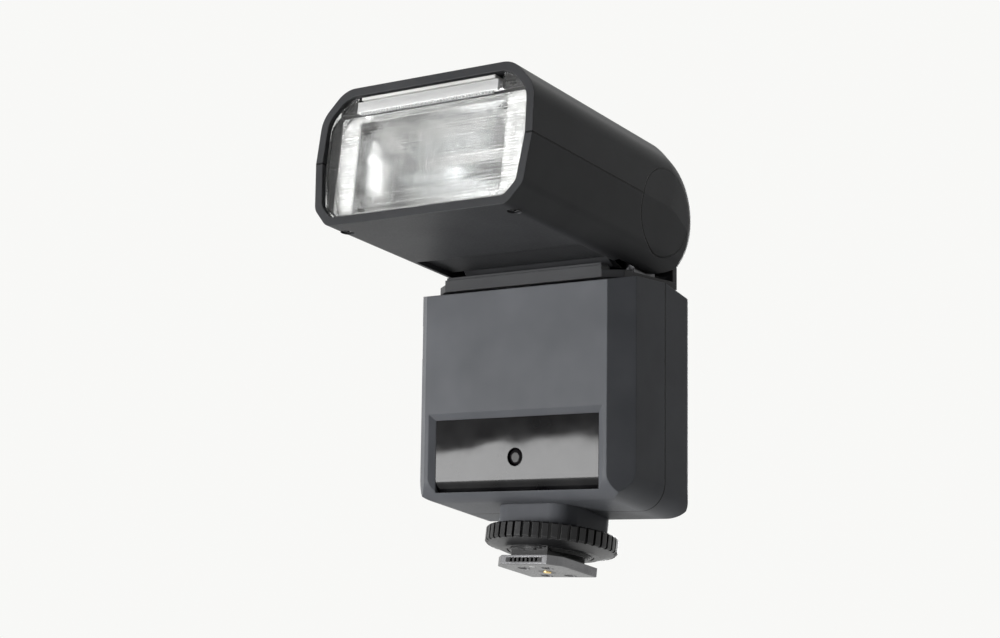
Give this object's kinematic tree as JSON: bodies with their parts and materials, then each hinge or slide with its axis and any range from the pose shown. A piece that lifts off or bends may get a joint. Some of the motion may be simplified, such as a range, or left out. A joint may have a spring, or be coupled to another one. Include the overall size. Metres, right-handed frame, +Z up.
{
  "type": "speedlight flash",
  "caption": "Hot-shoe speedlight flash: a leaning body on a locking shoe foot, a swivel neck and a tilting zoom head with a fresnel lens, stored wide panel and bounce card.",
  "frame": {"origin": "centre of the shoe foot's underside, on the axis of its contact pin", "axes": "+X to the right as one faces the lens, +Y to the rear, +Z up along the lock ring's axis; the head points along -Y"},
  "size_m": [0.062, 0.0824, 0.1025],
  "materials": {
    "shell_plastic": "fine matt moulded",
    "head_plastic": "fine matt moulded",
    "window_gloss": "polished",
    "lens_clear": "clear moulded, ribbed inside",
    "sensor_clear": "dark clear",
    "lcd_glass": "clear flat",
    "lcd_grey": "grey display",
    "mirror_foil": "bright, faceted",
    "tube_glass": "clear",
    "card_white": "smooth white",
    "key_rubber": "soft matt",
    "trim_black": "moulded",
    "steel": "plated",
    "gold_contact": "plated",
    "board_green": "lacquered",
    "lamp_red": "clear red",
    "cell_wrap": "film wrapped",
    "capacitor_sleeve": "sleeved"
  },
  "bodies": {
    "body": {"front_shell": "shell_plastic", "rear_shell": "shell_plastic", "shell_screws": "steel", "sensor_window": "window_gloss", "sensor_lens": "sensor_clear", "sensor_board": "board_green", "focus_lamp": "lamp_red", "battery_tray": "trim_black", "battery_cells": "cell_wrap", "battery_contacts": "steel", "main_capacitor": "capacitor_sleeve", "transformer": "capacitor_sleeve", "main_board": "board_green", "key_board": "board_green", "port_sockets": "gold_contact", "lcd_module": "lcd_grey", "lcd_window": "lcd_glass", "foot_pedestal": "shell_plastic", "foot_column": "trim_black", "foot_plate": "steel", "foot_connector": "trim_black", "foot_screws": "steel"},
    "battery_door": {"battery_door": "shell_plastic", "door_contact": "steel"},
    "port_cover": {"port_cover": "key_rubber"},
    "select_dial": {"select_dial": "trim_black"},
    "set_button": {"set_button": "key_rubber"},
    "mode_button": {"mode_button": "key_rubber"},
    "wireless_button": {"wireless_button": "key_rubber"},
    "menu_button": {"menu_button": "key_rubber"},
    "test_button": {"test_button": "key_rubber"},
    "power_switch": {"power_switch": "trim_black"},
    "clamp": {"pressure_plate": "trim_black"},
    "lock_ring": {"lock_ring": "trim_black"},
    "lock_pin": {"lock_pin": "steel"},
    "contact_pin": {"contact_pin": "gold_contact"},
    "neck": {"neck_cover": "head_plastic", "neck_rear_cover": "head_plastic", "tilt_bracket": "steel", "swivel_tube": "steel", "swivel_washer": "steel", "swivel_clip": "steel", "tilt_washers": "steel"},
    "head": {"head_upper_shell": "head_plastic", "head_lower_shell": "head_plastic", "head_screws": "steel", "head_cap_right": "head_plastic", "head_cap_left": "head_plastic", "fresnel_lens": "lens_clear", "panel_tray": "trim_black", "zoom_guide_rods": "steel", "zoom_motor": "steel", "head_board": "board_green"},
    "wide_panel": {"wide_panel": "lens_clear"},
    "bounce_card": {"bounce_card": "card_white"},
    "lamp_carriage": {"reflector": "mirror_foil", "xenon_tube": "tube_glass", "tube_grommets": "key_rubber", "lamp_carrier": "trim_black"},
    "zoom_screw": {"zoom_screw": "steel"}
  },
  "joints": [
    {"name": "head_swivel", "type": "hinge", "parent": "body", "child": "neck", "pos_m": [0, -0.0103, 0.0833], "axis": [0, -0.165, 0.9863], "range_deg": [-90, 180]},
    {"name": "head_tilt", "type": "hinge", "parent": "neck", "child": "head", "pos_m": [0, -0.0103, 0.0833], "axis": [-1, 0, 0], "range_deg": [-7, 90]},
    {"name": "wide_panel_slide", "type": "slide", "parent": "head", "child": "wide_panel", "axis": [0, -0.9994, -0.0358], "range_m": [0, 0.03]},
    {"name": "bounce_card_slide", "type": "slide", "parent": "head", "child": "bounce_card", "axis": [0, -0.9994, -0.0358], "range_m": [0, 0.03]},
    {"name": "zoom_slide", "type": "slide", "parent": "head", "child": "lamp_carriage", "axis": [0, 0.9994, 0.0358], "range_m": [0, 0.008]},
    {"name": "zoom_turn", "type": "hinge", "parent": "head", "child": "zoom_screw", "pos_m": [-0.0254, -0.05711, 0.07702], "axis": [0, 0.9994, 0.0358], "range_deg": [0, 1440]},
    {"name": "battery_door_hinge", "type": "hinge", "parent": "body", "child": "battery_door", "pos_m": [-0.0301, -0.0004, 0.03624], "axis": [0, 0.165, -0.9863], "range_deg": [0, 90]},
    {"name": "port_cover_hinge", "type": "hinge", "parent": "body", "child": "port_cover", "pos_m": [-0.0305, -0.01855, 0.05323], "axis": [0, -0.165, 0.9863], "range_deg": [0, 100]},
    {"name": "dial_turn", "type": "hinge", "parent": "body", "child": "select_dial", "pos_m": [0.009, 0.00966, 0.03006], "axis": [0, 0.9863, 0.165], "continuous": true},
    {"name": "set_press", "type": "slide", "parent": "body", "child": "set_button", "axis": [0, -0.9863, -0.165], "range_m": [0, 0.0005], "stiffness_N_per_m": 400, "springref_m": -0.0005},
    {"name": "mode_press", "type": "slide", "parent": "body", "child": "mode_button", "axis": [0, -0.9863, -0.165], "range_m": [0, 0.0005], "stiffness_N_per_m": 400, "springref_m": -0.0005},
    {"name": "wireless_press", "type": "slide", "parent": "body", "child": "wireless_button", "axis": [0, -0.9863, -0.165], "range_m": [0, 0.0005], "stiffness_N_per_m": 400, "springref_m": -0.0005},
    {"name": "menu_press", "type": "slide", "parent": "body", "child": "menu_button", "axis": [0, -0.9863, -0.165], "range_m": [0, 0.0005], "stiffness_N_per_m": 400, "springref_m": -0.0005},
    {"name": "test_press", "type": "slide", "parent": "body", "child": "test_button", "axis": [0, -0.9863, -0.165], "range_m": [0, 0.0005], "stiffness_N_per_m": 400, "springref_m": -0.0005},
    {"name": "power_slide", "type": "slide", "parent": "body", "child": "power_switch", "axis": [0, -0.165, 0.9863], "range_m": [0, 0.004]},
    {"name": "clamp_slide", "type": "slide", "parent": "body", "child": "clamp", "axis": [0, 0, -1], "range_m": [0, 0.0006]},
    {"name": "lock_turn", "type": "hinge", "parent": "clamp", "child": "lock_ring", "pos_m": [0, 0.0005, 0.0055], "axis": [0, 0, 1], "range_deg": [0, 270]},
    {"name": "lock_pin_slide", "type": "slide", "parent": "body", "child": "lock_pin", "axis": [0, 0, -1], "range_m": [0, 0.0012]},
    {"name": "contact_press", "type": "slide", "parent": "body", "child": "contact_pin", "axis": [0, 0, 1], "range_m": [0, 0.0003], "stiffness_N_per_m": 300, "springref_m": -0.0005}
  ],
  "couplings": [
    {"joint": "zoom_turn", "follows": "zoom_slide", "rad_per_m": 3141.6},
    {"joint": "lock_turn", "follows": "clamp_slide", "rad_per_m": 7854},
    {"joint": "lock_pin_slide", "follows": "clamp_slide", "ratio": 2}
  ]
}
